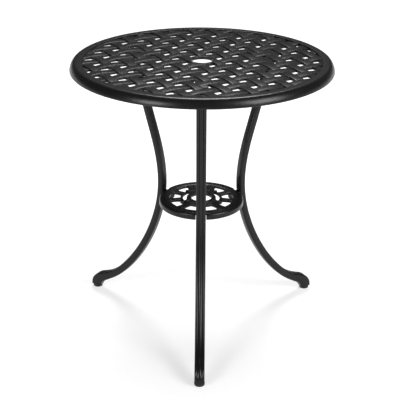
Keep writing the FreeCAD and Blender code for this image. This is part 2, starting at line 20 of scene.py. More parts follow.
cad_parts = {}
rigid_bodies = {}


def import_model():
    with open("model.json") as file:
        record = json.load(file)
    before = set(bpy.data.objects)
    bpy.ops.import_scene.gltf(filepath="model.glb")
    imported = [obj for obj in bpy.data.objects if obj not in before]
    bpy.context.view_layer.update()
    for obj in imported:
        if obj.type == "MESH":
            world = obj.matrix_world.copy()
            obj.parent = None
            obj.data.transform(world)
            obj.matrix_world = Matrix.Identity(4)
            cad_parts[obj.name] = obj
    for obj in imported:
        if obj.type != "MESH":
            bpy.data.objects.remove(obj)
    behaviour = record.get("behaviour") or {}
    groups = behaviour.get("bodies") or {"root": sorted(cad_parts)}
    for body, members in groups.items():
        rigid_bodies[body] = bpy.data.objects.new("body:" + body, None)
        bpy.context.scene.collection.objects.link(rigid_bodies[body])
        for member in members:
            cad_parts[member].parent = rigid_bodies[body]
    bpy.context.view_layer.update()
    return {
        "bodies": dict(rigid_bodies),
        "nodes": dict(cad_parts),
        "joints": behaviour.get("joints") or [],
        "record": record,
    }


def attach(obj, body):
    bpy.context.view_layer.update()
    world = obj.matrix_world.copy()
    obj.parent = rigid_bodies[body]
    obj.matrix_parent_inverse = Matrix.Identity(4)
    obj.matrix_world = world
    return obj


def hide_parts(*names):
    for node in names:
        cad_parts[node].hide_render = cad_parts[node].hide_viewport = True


MM = 0.001
SHARP_TURN = math.radians(38)
ROUND_STEPS = 96
EDGE_STEPS = 5
FOOT_STEPS = 2
FOOT_EDGE = 0.5
EDGE_LIMIT = 0.9
CREST_PLACES = (0.4, 0.0, -0.4)

Point = tuple[float, float]
Triple = tuple[float, float, float]
Ring = list[Vector]

log = logging.getLogger("table")


class LegPlace(Enum):
    """Where a leg stands, as its turn about the table's axis in degrees."""

    FRONT = -90.0
    RIGHT = 30.0
    LEFT = 150.0

    @property
    def label(self) -> str:
        """Name of the place as the frame's nodes write it."""
        return self.name.lower()

    @property
    def turn(self) -> Matrix:
        """Rotation that carries a leg's own frame to this place."""
        return turned(self.value)


class Slot(Enum):
    """Material slots of the table's record."""

    CASTING = "black_cast_aluminium"
    SCREW = "screw_steel"
    INSERT = "insert_brass"
    GLIDE = "glide_nylon"


# Outlines and casting shells


def turned(degrees: float, axis: str = "Z") -> Matrix:
    """Rotation about an axis by an angle in degrees."""
    return Matrix.Rotation(math.radians(degrees), 4, axis)


def polar(radius: float, turn: float) -> Point:
    """Point at a radius from the middle, round it by an angle in radians."""
    return radius * math.cos(turn), radius * math.sin(turn)


def arc(centre: Point, radius: float, start: float, end: float, steps: int) -> list[Point]:
    """Points along an arc.

    Args:
        centre: Middle of the arc.
        radius: Radius in millimetres.
        start: First angle in degrees.
        end: Last angle in degrees.
        steps: Number of straight steps.

    Returns:
        The points from start to end, both ends included.
    """
    points = []
    for step in range(steps + 1):
        across, up = polar(radius, math.radians(start + (end - start) * step / steps))
        points.append((centre[0] + across, centre[1] + up))
    return points


def rounded_box_section(half: float, low: float, high: float, edge: float,
                        crown: float) -> list[Point]:
    """Cross-section of a cast bar with rounded upper edges.

    Args:
        half: Half of the bar's width.
        low: Height of its underside.
        high: Height of its upper side at the edges.
        edge: Radius of the upper edges.
        crown: How far the middle of the upper side stands higher.

    Returns:
        A closed outline of (across, height) points.
    """
    edge = min(edge, (high - low) * EDGE_LIMIT, half * EDGE_LIMIT)
    crest = [(half * across, high + crown * (1 - across ** 2)) for across in CREST_PLACES]
    return (arc((half - FOOT_EDGE, low + FOOT_EDGE), FOOT_EDGE, -90, 0, FOOT_STEPS)
            + arc((half - edge, high - edge), edge, 0, 90, EDGE_STEPS) + crest
            + arc((edge - half, high - edge), edge, 90, 180, EDGE_STEPS)
            + arc((FOOT_EDGE - half, low + FOOT_EDGE), FOOT_EDGE, 180, 270, FOOT_STEPS))


class SmoothLine:
    """Curve with continuous bending through a row of stations."""

    def __init__(self, stations: Sequence[Point]) -> None:
        """Works out how the curve bends at each station.

        Args:
            stations: Points the curve passes through.
        """
        self.stations = stations
        self.spans = [math.dist(first, second) for first, second in zip(stations, stations[1:])]
        knots = [sum(self.spans[:index]) for index in range(len(stations))]
        self.bends = [self.natural_bends(knots, [station[axis] for station in stations])
                      for axis in (0, 1)]

    @staticmethod
    def natural_bends(knots: Sequence[float], heights: Sequence[float]) -> list[float]:
        """Second derivatives of the natural cubic spline.

        Args:
            knots: Distances along the line.
            heights: Values at the knots.

        Returns:
            One second derivative for each knot, zero at both ends.
        """
        count = len(knots)
        above, right = [0.0] * count, [0.0] * count
        for index in range(1, count - 1):
            before = knots[index] - knots[index - 1]
            after = knots[index + 1] - knots[index]
            slope = (heights[index + 1] - heights[index]) / after
            slope -= (heights[index] - heights[index - 1]) / before
            pivot = 2 * (before + after) - before * above[index - 1]
            above[index] = after / pivot
            right[index] = (6 * slope - before * right[index - 1]) / pivot
        bends = [0.0] * count
        for index in range(count - 2, 0, -1):
            bends[index] = right[index] - above[index] * bends[index + 1]
        return bends

    def at(self, number: float) -> Point:
        """Point of the curve.

        Args:
            number: Station number, whole or fractional.

        Returns:
            The point there.
        """
        index = min(int(number), len(self.spans) - 1)
        share, span = number - index, self.spans[index]
        rest = 1 - share
        found = []
        for axis, bends in enumerate(self.bends):
            low, high = self.stations[index][axis], self.stations[index + 1][axis]
            before, after = bends[index], bends[index + 1]
            found.append(rest * low + share * high + span ** 2 / 6 * (
                (rest ** 3 - rest) * before + (share ** 3 - share) * after))
        return found[0], found[1]


class Casting:
    """Closed shells in millimetres that become one object of the scene."""

    bar_places: tuple[float, ...] = (0.0, 0.03, 0.12, 0.22, 0.34, 0.46, 0.6, 0.72, 0.82, 0.9,
                                     0.97, 1.0)
    bar_end_share: float = 0.88
    flare_reach: float = 0.6
    block_steps: int = 3

    def __init__(self) -> None:
        """Starts with no shells."""
        self.mesh = bmesh.new()

    def skin(self, rings: Iterable[Ring], turn: Matrix | None = None,
             endless: bool = False) -> None:
        """Adds a closed shell stretched over a row of rings.

        Args:
            rings: Rings with the same number of points each.
            turn: Placement of the shell, if it isn't drawn in place.
            endless: Whether the last ring joins the first, as round a tyre.
        """
        place = turn or Matrix()
        rows = [[self.mesh.verts.new(place @ point) for point in ring] for ring in rings]
        pairs = list(zip(rows, rows[1:]))
        if endless:
            pairs.append((rows[-1], rows[0]))
        for first, second in pairs:
            for index in range(len(first)):
                following = (index + 1) % len(first)
                self.mesh.faces.new((first[index], first[following],
                                     second[following], second[index]))
        if not endless:
            self.mesh.faces.new(rows[0])
            self.mesh.faces.new(rows[-1])

    def lathe(self, profile: Sequence[Point], steps: int, start: float = 0.0,
              sweep: float = 360.0) -> None:
        """Adds a shell turned about the Z axis.

        Args:
            profile: Closed outline of (radius, height) points.
            steps: Number of sections for the whole sweep.
            start: First angle in degrees.
            sweep: How far the shell goes round in degrees.
        """
        whole = sweep >= 360.0
        count = steps if whole else steps + 1
        rings = []
        for step in range(count):
            turn = math.radians(start + sweep * step / steps)
            rings.append([Vector((*polar(radius, turn), height)) for radius, height in profile])
        self.skin(rings, endless=whole)

    def hoop(self, inner: float, wall: float, low: float, high: float, edge: float,
             crown: float) -> None:
        """Adds a round wall with rounded upper edges.

        Args:
            inner: Radius of its inside.
            wall: How thick it is.
            low: Height of its underside.
            high: Height of its upper side at the edges.
            edge: Radius of the upper edges.
            crown: How far the middle of the upper side stands higher.
        """
        outline = rounded_box_section(wall / 2, low, high, edge, crown)
        self.lathe([(inner + wall / 2 + across, height) for across, height in outline],
                   ROUND_STEPS)

    def bar(self, section: Sequence[Point], start: float, end: float, turn: Matrix,
            flares: Point) -> None:
        """Adds a straight bar along X with rounded-off and flared ends.

        Args:
            section: Closed outline of (across, height) points.
            start: Where the bar begins along X.
            end: Where it ends.
            turn: Placement of the bar.
            flares: How much wider the bar is at its start and at its end.
        """
        middle = sum(height for _, height in section) / len(section)
        width = 2 * max(across for across, _ in section)
        reach = self.flare_reach
        rings = []
        for step in self.bar_places:
            flare = flares[0] * max(1 - step / reach, 0.0) ** 2
            flare += flares[1] * max((step - (1 - reach)) / reach, 0.0) ** 2
            share = self.bar_end_share if step in (0.0, 1.0) else 1.0
            rings.append([Vector((start + (end - start) * step,
                                  across * share * (1 + flare / width),
                                  middle + (height - middle) * share))
                          for across, height in section])
        self.skin(rings, turn)

    def block(self, low: Sequence[float], high: Sequence[float], edge: float,
              turn: Matrix) -> None:
        """Adds a box with all its edges rounded.

        Args:
            low: Lowest corner.
            high: Highest corner.
            edge: Radius of the edges.
            turn: Placement of the box.
        """
        box = bmesh.new()
        bmesh.ops.create_cube(box, size=1.0)
        for vertex in box.verts:
            vertex.co = Vector([low[axis] + (high[axis] - low[axis]) * (vertex.co[axis] + 0.5)
                                for axis in range(3)])
        bmesh.ops.bevel(box, geom=box.edges[:], offset=edge, segments=self.block_steps,
                        profile=0.5, affect="EDGES", clamp_overlap=True)
        box.transform(turn)
        self.take(box)

    def take(self, other: bmesh.types.BMesh) -> None:
        """Moves another mesh's shells into this casting and frees it.

        Args:
            other: The other mesh, in place.
        """
        passing = bpy.data.meshes.new("passing")
        other.to_mesh(passing)
        other.free()
        self.mesh.from_mesh(passing)
        bpy.data.meshes.remove(passing)

    def object(self, name: str) -> bpy.types.Object:
        """Makes the object.

        Args:
            name: Name of the piece.

        Returns:
            The new object, in metres, smooth but for its sharp edges.
        """
        bmesh.ops.recalc_face_normals(self.mesh, faces=self.mesh.faces[:])
        for face in self.mesh.faces:
            face.smooth = True
        for edge in self.mesh.edges:
            edge.smooth = len(edge.link_faces) == 2 and edge.calc_face_angle(0.0) < SHARP_TURN
        self.mesh.transform(Matrix.Scale(MM, 4))
        mesh = bpy.data.meshes.new(name)
        self.mesh.to_mesh(mesh)
        self.mesh.free()
        return new_object(name, mesh)


class Trimmer:
    """Cuts closed shells back to the ring between a round hole and a round edge."""

    cut_turns: Triple = (0.0, -5.0, 5.0)
    tolerance: float = 1e-5

    def __init__(self, hole: Casting, edge: float) -> None:
        """Keeps the hole's shell at hand.

        Args:
            hole: Closed shell of what is taken out of the middle.
            edge: Radius of the round edge.
        """
        self.hole = hole.object("trimming_hole")
        self.edge = edge

    def round_off(self, shell: bmesh.types.BMesh, azimuth: float) -> None:
        """Cuts a shell along the round edge, in three straight cuts.

        Args:
            shell: A single closed shell, changed in place.
            azimuth: Where the shell lies round the Z axis, in radians.
        """
        for aside in self.cut_turns:
            turn = azimuth + math.radians(aside)
            out = Vector((*polar(1.0, turn), 0.0))
            cut = bmesh.ops.bisect_plane(
                shell, geom=shell.verts[:] + shell.edges[:] + shell.faces[:],
                dist=self.tolerance, plane_co=out * self.edge, plane_no=out, clear_outer=True)
            rim = [part for part in cut["geom_cut"] if isinstance(part, bmesh.types.BMEdge)]
            if rim:
                bmesh.ops.edgeloop_fill(shell, edges=rim)

    def pierce(self, shell: Casting) -> bmesh.types.BMesh:
        """Takes the hole out of a shell.

        Args:
            shell: A single closed shell.

        Returns:
            What is left of it, in millimetres.
        """
        whole = shell.object("pierced_whole")
        trim = whole.modifiers.new("pierce", "BOOLEAN")
        trim.operation = "DIFFERENCE"
        trim.solver = "FAST"
        trim.object = self.hole
        bpy.context.view_layer.update()
        seen = whole.evaluated_get(bpy.context.evaluated_depsgraph_get())
        left = bmesh.new()
        left.from_mesh(seen.to_mesh())
        left.transform(Matrix.Scale(1 / MM, 4))
        seen.to_mesh_clear()
        remove_object(whole)
        return left

    def done(self) -> None:
        """Takes the hole's shell out of the scene."""
        remove_object(self.hole)


def new_object(name: str, data: bpy.types.ID) -> bpy.types.Object:
    """Adds an object to the scene.

    Args:
        name: Its name.
        data: Its mesh, lamp or camera.

    Returns:
        The object.
    """
    made = bpy.data.objects.new(name, data)
    bpy.context.scene.collection.objects.link(made)
    return made


def remove_object(piece: bpy.types.Object) -> None:
    """Removes an object and its mesh.

    Args:
        piece: The object.
    """
    mesh = piece.data
    bpy.data.objects.remove(piece)
    bpy.data.meshes.remove(mesh)


# Finishes


@dataclass(frozen=True)
class Relief:
    """Pattern that stands out of a surface.

    It has so many cells in a metre, a bump's strength from 0 to 1, and a height in metres.
    """

    scale: float
    strength: float
    height: float


class NodeMaterial:
    """Material in the making, with patterns that are fixed to the object."""

    def __init__(self, name: str) -> None:
        """Starts the material with its shader and the object's coordinates.

        Args:
            name: Name of the material.
        """
        self.made = bpy.data.materials.new(name)
        self.made.use_nodes = True
        self.nodes = self.made.node_tree.nodes
        self.shader = self.find("BSDF_PRINCIPLED")
        self.place = self.add("TexCoord").outputs["Object"]

    def find(self, kind: str) -> bpy.types.Node:
        """The material's first node of one kind."""
        return next(node for node in self.nodes if node.type == kind)

    def feed(self, node: bpy.types.Node, values: dict[str | int, Any]) -> None:
        """Sets a node's inputs.

        Args:
            node: The node.
            values: A value or another node's socket, by the input's name or number.
        """
        for name, value in values.items():
            if isinstance(value, bpy.types.NodeSocket):
                self.made.node_tree.links.new(value, node.inputs[name])
            else:
                node.inputs[name].default_value = value

    def add(self, kind: str, values: dict[str | int, Any] | None = None,
            **options: str) -> bpy.types.Node:
        """Adds a node.

        Args:
            kind: Type of the node, without the ShaderNode at its start.
            values: A value or another node's socket, by the input's name or number.
            options: The node's own options.

        Returns:
            The node.
        """
        node = self.nodes.new("ShaderNode" + kind)
        for option, choice in options.items():
            setattr(node, option, choice)
        self.feed(node, values or {})
        return node

    def noise(self, scale: float, detail: float, roughness: float) -> bpy.types.NodeSocket:
        """Adds a noise.

        Args:
            scale: Cells in a metre.
            detail: Number of finer layers.
            roughness: Weight of the finer layers.

        Returns:
            The socket that gives it.
        """
        return self.add("TexNoise", {"Vector": self.place, "Scale": scale, "Detail": detail,
                                     "Roughness": roughness}).outputs["Fac"]

    def tint(self, share: bpy.types.NodeSocket, first: Triple, second: Triple) -> None:
        """Gives the shader a colour between two.

        Args:
            share: Socket that gives the second colour's share.
            first: One colour.
            second: The other colour.
        """
        mix = self.add("Mix", {0: share, 6: (*first, 1.0), 7: (*second, 1.0)}, data_type="RGBA")
        self.feed(self.shader, {"Base Color": mix.outputs[2]})

    def spread(self, value: bpy.types.NodeSocket, source: Point,
               target: Point) -> bpy.types.NodeSocket:
        """Maps a value from one range to another.

        Args:
            value: Socket that gives the value.
            source: First and last value of the one range.
            target: The values that these become.

        Returns:
            The socket that gives the mapped value.
        """
        return self.add("MapRange", {
            "Value": value, "From Min": source[0], "From Max": source[1],
            "To Min": target[0], "To Max": target[1]}).outputs["Result"]

    def emboss(self, *layers: tuple[bpy.types.NodeSocket, Relief]) -> None:
        """Gives the shader a bumped surface.

        Args:
            layers: For each bump the socket of its pattern and its relief, the lowest first.
        """
        under = {}
        for height, relief in layers:
            bump = self.add("Bump", {"Strength": relief.strength, "Distance": relief.height,
                                     "Height": height, **under})
            under = {"Normal": bump.outputs["Normal"]}
        self.feed(self.shader, under)


@dataclass(frozen=True)
class PowderCoat:
    """Satin black powder coat with the fine texture of outdoor furniture.

    The coat lies over a casting whose surface rolls a little. Its grain is about half a
    millimetre, and handling leaves faint lighter patches.
    """

    deep: Triple = (0.0046, 0.0047, 0.0048)
    worn: Triple = (0.0096, 0.0096, 0.0095)
    grain_range: Point = (0.3, 0.7)
    roughness: Point = (0.24, 0.34)
    shine: float = 0.25
    grain: Relief = Relief(1500.0, 0.35, 0.00018)
    peel: Relief = Relief(420.0, 0.25, 0.0003)
    roll: Relief = Relief(45.0, 0.2, 0.0012)

    def material(self, name: str) -> bpy.types.Material:
        """Builds the node material.

        Args:
            name: Name of the material.

        Returns:
            The material, ready to assign.
        """
        coat = NodeMaterial(name)
        patches = coat.noise(self.roll.scale, detail=4.0, roughness=0.6)
        grain = coat.noise(self.grain.scale, detail=3.0, roughness=0.55)
        peel = coat.add("TexVoronoi", {"Vector": coat.place, "Scale": self.peel.scale},
                        feature="SMOOTH_F1")
        coat.tint(patches, self.deep, self.worn)
        coat.feed(coat.shader, {"Roughness": coat.spread(grain, self.grain_range, self.roughness),
                                "Specular IOR Level": self.shine})
        coat.emboss((grain, self.grain), (peel.outputs["Distance"], self.peel),
                    (patches, self.roll))
        return coat.made


@dataclass(frozen=True)
class TurnedMetal:
    """Plated or bare turned metal, with rings left by the tool."""

    colour: Triple
    dulled: Triple
    cloud_scale: float = 260.0
    roughness: Point = (0.26, 0.46)
    wobble: float = 1.5
    rings: Relief = Relief(900.0, 0.12, 0.00006)

    def material(self, name: str) -> bpy.types.Material:
        """Builds the node material.

        Args:
            name: Name of the material.

        Returns:
            The material, ready to assign.
        """
        metal = NodeMaterial(name)
        clouds = metal.noise(self.cloud_scale, detail=4.0, roughness=0.6)
        rings = metal.add("TexWave", {"Vector": metal.place, "Scale": self.rings.scale,
                                      "Distortion": self.wobble},
                          wave_type="BANDS", bands_direction="Z")
        metal.tint(clouds, self.colour, self.dulled)
        metal.feed(metal.shader, {"Roughness": metal.spread(clouds, (0.0, 1.0), self.roughness),
                                  "Metallic": 1.0})
        metal.emboss((rings.outputs["Fac"], self.rings))
        return metal.made


@dataclass(frozen=True)
class MouldedNylon:
    """Black moulded nylon, matt, scuffed a little where it meets the floor."""

    colour: Triple = (0.012, 0.012, 0.013)
    scuffed: Triple = (0.045, 0.044, 0.042)
    roughness: float = 0.55
    shine: float = 0.4
    scuff_heights: Point = (0.0, 0.003)
    scuff_shares: Point = (1.0, 0.1)
    scuffs: Relief = Relief(700.0, 0.2, 0.0001)

    def material(self, name: str) -> bpy.types.Material:
        """Builds the node material.

        Args:
            name: Name of the material.

        Returns:
            The material, ready to assign.
        """
        nylon = NodeMaterial(name)
        scuffs = nylon.noise(self.scuffs.scale, detail=6.0, roughness=0.75)
        height = nylon.add("SeparateXYZ", {"Vector": nylon.place}).outputs["Z"]
        near_floor = nylon.spread(height, self.scuff_heights, self.scuff_shares)
        share = nylon.add("Math", {0: scuffs, 1: near_floor}, operation="MULTIPLY")
        nylon.tint(share.outputs["Value"], self.colour, self.scuffed)
        nylon.feed(nylon.shader, {"Roughness": self.roughness, "Specular IOR Level": self.shine})
        nylon.emboss((scuffs, self.scuffs))
        return nylon.made


class Finishes:
    """The table's finishes, each made once."""

    def __init__(self) -> None:
        """Builds the materials, keyed by the record's slots."""
        black_zinc = TurnedMetal(colour=(0.045, 0.045, 0.047), dulled=(0.028, 0.028, 0.029))
        brass = TurnedMetal(colour=(0.72, 0.52, 0.26), dulled=(0.5, 0.34, 0.16))
        self.by_slot = {
            Slot.CASTING: PowderCoat().material("satin_black_powder_coat"),
            Slot.SCREW: black_zinc.material("black_zinc_plated_steel"),
            Slot.INSERT: brass.material("turned_brass"),
            Slot.GLIDE: MouldedNylon().material("moulded_nylon"),
        }

    def dress(self, piece: bpy.types.Object, slot: Slot) -> None:
        """Gives a piece one of the finishes, in all its material slots.

        Args:
            piece: The piece.
            slot: The record's material slot.
        """
        finish = self.by_slot[slot]
        if not piece.data.materials:
            piece.data.materials.append(finish)
        for row in piece.material_slots:
            row.material = finish


# Sub-assemblies


@dataclass
class Tabletop:
    """Woven round top with a rolled rim, an umbrella hole and three pads underneath."""

    top: float = 674.0
    radius: float = 305.0
    rim_width: float = 29.0
    rim_depth: float = 20.5
    rim_edge: float = 1.2
    rim_steps: int = 288
    shoulder: float = 11.0
    face: float = 26.0
    face_rise: float = 40.0
    face_end: float = 4.0
    wall: float = 4.5
    collar: float = 7.0
    collar_edge: float = 0.6
    pitch: float = 45.0
    strip: float = 22.5
    strip_edge: float = 1.6
    strip_crown: float = 0.25
    drop: float = 1.2
    relief: float = 2.2
    edge: float = 4.8
    tuck: float = 4.0
    tuck_lead: float = 1.0
    tuck_rise: float = 0.8
    run_steps: int = 14
    weave_turn: float = 30.0
    least_run: float = 1.0
    hole: float = 25.4
    hub_wall: float = 9.0
    hub_rise: float = 0.1
    hub_crown: float = 0.1
    hub_edge: float = 1.4
    hub_margin: float = 2.0
    plug_reach: float = 9.0
    pad_start: float = 132.0
    pad_length: float = 72.0
    pad_width: float = 30.0
    pad_depth: float = 9.8
    pad_edge: float = 2.2
    pad_sink: float = 0.4

    @property
    def crest(self) -> float:
        """Height of the weave's highest points."""
        return self.top - self.drop

    @property
    def under(self) -> float:
        """Height of the weave's underside."""
        return self.crest - self.relief - self.edge

    def rim_profile(self) -> list[Point]:
        """Closed outline of the rim: collar, flat, rolled nose and skirt.

        Returns:
            The outline of (radius, height) points.
        """
        inner, edge, foot = self.radius - self.rim_width, self.rim_edge, self.collar_edge
        bend = math.radians(self.face_rise)
        apart = self.face - self.shoulder
        above = (self.radius - self.face + apart * math.cos(bend), self.top - self.shoulder)
        beside = (self.radius - self.face, above[1] - apart * math.sin(bend))
        low = self.top - self.rim_depth
        lip = self.wall / 2
        return ([(inner, self.under + foot), (inner, self.top - edge)]
                + arc((inner + edge, self.top - edge), edge, 180, 90, steps=4)[1:]
                + arc(above, self.shoulder, 90, self.face_rise, steps=12)
                + arc(beside, self.face, self.face_rise, self.face_end, steps=9)[1:]
                + arc((self.radius - lip, low + lip), lip, 0, -180, steps=8)
                + arc(beside, self.face - self.wall, self.face_end, self.face_rise, steps=6)
                + arc(above, self.shoulder - self.wall, self.face_rise, 90, steps=6)[1:]
                + [(inner + self.collar, self.top - self.wall),
                   (inner + self.collar, self.under + foot),
                   (inner + self.collar - foot, self.under), (inner + foot, self.under)])

    def run(self) -> list[Ring]:
        """Rings of one visible run of a strip, arched over the strip it crosses.

        Returns:
            The rings, along X about the crossing.
        """
        half = (self.pitch + self.strip) / 2
        reach = half + self.tuck
        rings = []
        for step in range(self.run_steps + 1):
            along = -reach + 2 * reach * step / self.run_steps
            high = self.crest - self.relief * (along / half) ** 2
            hidden = max(0.0, abs(along) - half + self.tuck_lead)
            low = self.under + self.tuck_rise * hidden / (self.tuck + self.tuck_lead)
            section = rounded_box_section(self.strip / 2, low, high, self.strip_edge,
                                          self.strip_crown)
            rings.append([Vector((along, across, height)) for across, height in section])
        return rings

    def add_weave(self, casting: Casting) -> None:
        """Adds the strips' runs, each over the strip it crosses.

        Args:
            casting: The casting that takes them.
        """
        inner = self.hole + self.hub_wall / 2
        outer = self.radius - self.rim_width + self.collar / 2
        rows = math.ceil(outer / self.pitch) + 1
        rings = self.run()
        points = [point for ring in rings for point in ring]
        trimmer = Trimmer(self.hole_plug(inner), outer)
        field_turn = turned(self.weave_turn)
        for row in range(-rows, rows):
            for column in range(-rows, rows):
                centre = Vector(((row + 0.5) * self.pitch, (column + 0.5) * self.pitch, 0))
                turn = Matrix.Rotation(math.pi / 2 * ((row + column) % 2), 4, "Z")
                place = field_turn @ Matrix.Translation(centre) @ turn
                reaches = [(place @ point).xy.length for point in points]
                if min(reaches) > outer - self.least_run:
                    continue
                run = Casting()
                run.skin(rings, place)
                if min(reaches) < inner + self.hub_margin:
                    casting.take(trimmer.pierce(run))
                    continue
                if max(reaches) > outer:
                    middle = field_turn @ centre
                    trimmer.round_off(run.mesh, math.atan2(middle.y, middle.x))
                casting.take(run.mesh)
        trimmer.done()

    def hole_plug(self, radius: float) -> Casting:
        """Round plug, higher and lower than the weave, that ends inside the hub's wall.

        Args:
            radius: Radius of the plug.

        Returns:
            The plug.
        """
        plug = Casting()
        turns = [2 * math.pi * step / ROUND_STEPS for step in range(ROUND_STEPS)]
        heights = (self.under - self.plug_reach, self.top + self.plug_reach)
        plug.skin([[Vector((*polar(radius, turn), height)) for turn in turns]
                   for height in heights])
        return plug

    def build(self) -> bpy.types.Object:
        """Builds the top as one object.

        Returns:
            The object.
        """
        casting = Casting()
        casting.lathe(self.rim_profile(), self.rim_steps)
        self.add_weave(casting)
        casting.hoop(self.hole, self.hub_wall, self.under, self.crest + self.hub_rise,
                     self.hub_edge, self.hub_crown)
        low = (self.pad_start, -self.pad_width / 2, self.under - self.pad_depth)
        high = (self.pad_start + self.pad_length, self.pad_width / 2,
                self.under + self.edge - self.pad_sink)
        for place in LegPlace:
            casting.block(low, high, self.pad_edge, place.turn)
        return casting.object("tabletop_casting")

    def dress(self, finishes: Finishes) -> list[bpy.types.Object]:
        """Hangs the top on the frame and gives it its coat.

        Args:
            finishes: The table's finishes.

        Returns:
            The dressed piece.
        """
        piece = self.build()
        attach(piece, "table")
        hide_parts("tabletop")
        finishes.dress(piece, Slot.CASTING)
        return [piece]


@dataclass(frozen=True)
class Seat:
    """Block at the inside of a leg's waist, which a lug of the shelf is screwed to."""

    radius: float = 96.0
    width: float = 18.0
    low: float = 307.5
    high: float = 323.5


@dataclass
class Leg:
    """S-curved leg with three reeds on its outside, a tab above and a hoof below.

    The centreline's stations between shoulder and waist are shares of the flare and the rise
    there, and those under the waist are shares of the foot's reach and the waist's height. The
    hoof's points are so far back from the toe or the heel and so far under the knuckle. The
    section has points so far in from the leg's side, and at shares of the groove and the reed.
    """

    place: LegPlace
    width: float = 23.2
    depth: float = 15.0
    ankle_depth: float = 19.6
    growth: tuple[float, ...] = (0.0, 0.0, 0.0, 0.05, 0.13, 0.4, 0.65, 0.87, 1.0)
    reed: float = 4.5
    groove: float = 2.0
    reed_roundness: float = 2.2
    reeds_end: float = 0.62
    reeds_fade: float = 0.2
    side_edge: float = 3.7
    inner_edge: float = 5.5
    side_places: tuple[float, ...] = (0.0, 0.35, 1.1, 2.2)
    groove_shares: tuple[float, ...] = (0.66, 0.33, 0.12)
    reed_shares: tuple[float, ...] = (1.0, 0.94, 0.82, 0.6, 0.3)
    tab_bottom: float = 646.0
    tab_top: float = 656.0
    tab_start: float = 134.0
    tab_length: float = 66.0
    tab_width: float = 26.0
    tab_edge: float = 2.4
    tab_gap: float = 0.02
    tab_overlap: float = 2.0
    top_radius: float = 189.5
    shoulder_radius: float = 174.5
    shoulder_height: float = 609.0
    upper_shares: tuple[Point, ...] = ((0.587, 0.675), (0.18, 0.345))
    waist_radius: float = 111.3
    waist_height: float = 345.0
    lower_shares: tuple[Point, ...] = ((0.106, 0.68), (0.29, 0.45), (0.552, 0.243),
                                       (0.746, 0.146))
    foot_radius: float = 318.5
    foot_length: float = 27.5
    foot_bottom: float = 8.3
    toe_draft: float = 1.0
    knuckle: float = 46.0
    hoof_front: tuple[Point, ...] = ((37.0, -2.0), (23.0, 3.0), (9.0, 13.5), (2.0, 26.5))
    hoof_back: tuple[Point, ...] = ((16.0, 20.5), (4.0, 30.3))
    seat: Seat = Seat()
    seat_edge: float = 1.6
    seat_overlap: float = 3.0
    steps_per_station: int = 9
    hoof_steps: int = 30
    nearby: float = 0.01

    def stations(self) -> list[Point]:
        """Centreline of the leg from its tab down to the hoof.

        Returns:
            The stations as (radius, height) points.
        """
        rise = self.shoulder_height - self.waist_height
        flare = self.shoulder_radius - self.waist_radius
        reach = self.foot_radius - self.waist_radius
        above = [(self.waist_radius + out * flare, self.waist_height + up * rise)
                 for out, up in self.upper_shares]
        below = [(self.waist_radius + out * reach, up * self.waist_height)
                 for out, up in self.lower_shares]
        return [(self.top_radius, self.tab_bottom + self.tab_overlap),
                (self.shoulder_radius, self.shoulder_height), *above,
                (self.waist_radius, self.waist_height), *below]

    def beside(self, side: int) -> list[Point]:
        """The same stations moved square to the centreline, onto one face of the leg.

        Args:
            side: 1 for the outer face, -1 for the inner one.

        Returns:
            The moved stations.
        """
        stations = self.stations()
        line = SmoothLine(stations)
        moved = []
        for index, (along, height) in enumerate(stations):
            before = line.at(max(index - self.nearby, 0.0))
            after = line.at(min(index + self.nearby, len(stations) - 1.0))
            run, fall = after[0] - before[0], after[1] - before[1]
            length = math.hypot(run, fall)
            deeper = self.growth[index] * (self.ankle_depth - self.depth)
            offset = side * (self.depth + deeper) / 2
            moved.append((along - fall / length * offset, height + run / length * offset))
        return moved

    def outside(self) -> list[Point]:
        """Outer contour, over the knuckle and down the front of the hoof.

        Returns:
            Its points, from the tab down.
        """
        toe = self.foot_radius + self.foot_length / 2
        hoof = [(toe - back, self.knuckle - down) for back, down in self.hoof_front]
        return self.beside(1) + hoof + [(toe - self.toe_draft, self.foot_bottom)]

    def inside(self) -> list[Point]:
        """Inner contour, down to the back of the hoof.

        Returns:
            Its points, from the tab down.
        """
        heel = self.foot_radius - self.foot_length / 2
        hoof = [(heel - back, self.knuckle - down) for back, down in self.hoof_back]
        return self.beside(-1) + hoof + [(heel, self.foot_bottom)]

    def dip(self, across: float, reeded: float) -> float:
        """How far the outer face lies below its crest.

        Args:
            across: Distance from the middle of the leg.
            reeded: Share of the reeds' full depth.

        Returns:
            The dip in millimetres.
        """
        side = abs(across)
        crown = self.width / 2 - self.side_edge
        if side <= self.reed:
            return reeded * self.groove * (side / self.reed) ** self.reed_roundness
        if side <= crown:
            return reeded * self.groove * ((crown - side) / (crown - self.reed)) ** 2
        rest = min((side - crown) / self.side_edge, 1.0)
        return self.side_edge * (1 - math.sqrt(1 - rest ** 2))

    def section(self, half: float, reeded: float) -> list[Point]:
        """Closed cross-section of (across, outwards) points about the centreline.

        Args:
            half: Half of the depth here.
            reeded: Share of the reeds' full depth.

        Returns:
            The outline.
        """
        side = self.width / 2
        crown = side - self.side_edge
        across = ([side - inwards for inwards in self.side_places] + [crown]
                  + [self.reed + (crown - self.reed) * share for share in self.groove_shares]
                  + [self.reed * share for share in self.reed_shares])
        across = across + [0.0] + [-value for value in reversed(across)]
        face = [(value, half - self.dip(value, reeded)) for value in across]
        edge = self.inner_edge
        back = (arc((edge - side, edge - half), edge, 180, 270, EDGE_STEPS)
                + arc((side - edge, edge - half), edge, 270, 360, EDGE_STEPS))
        return face + back

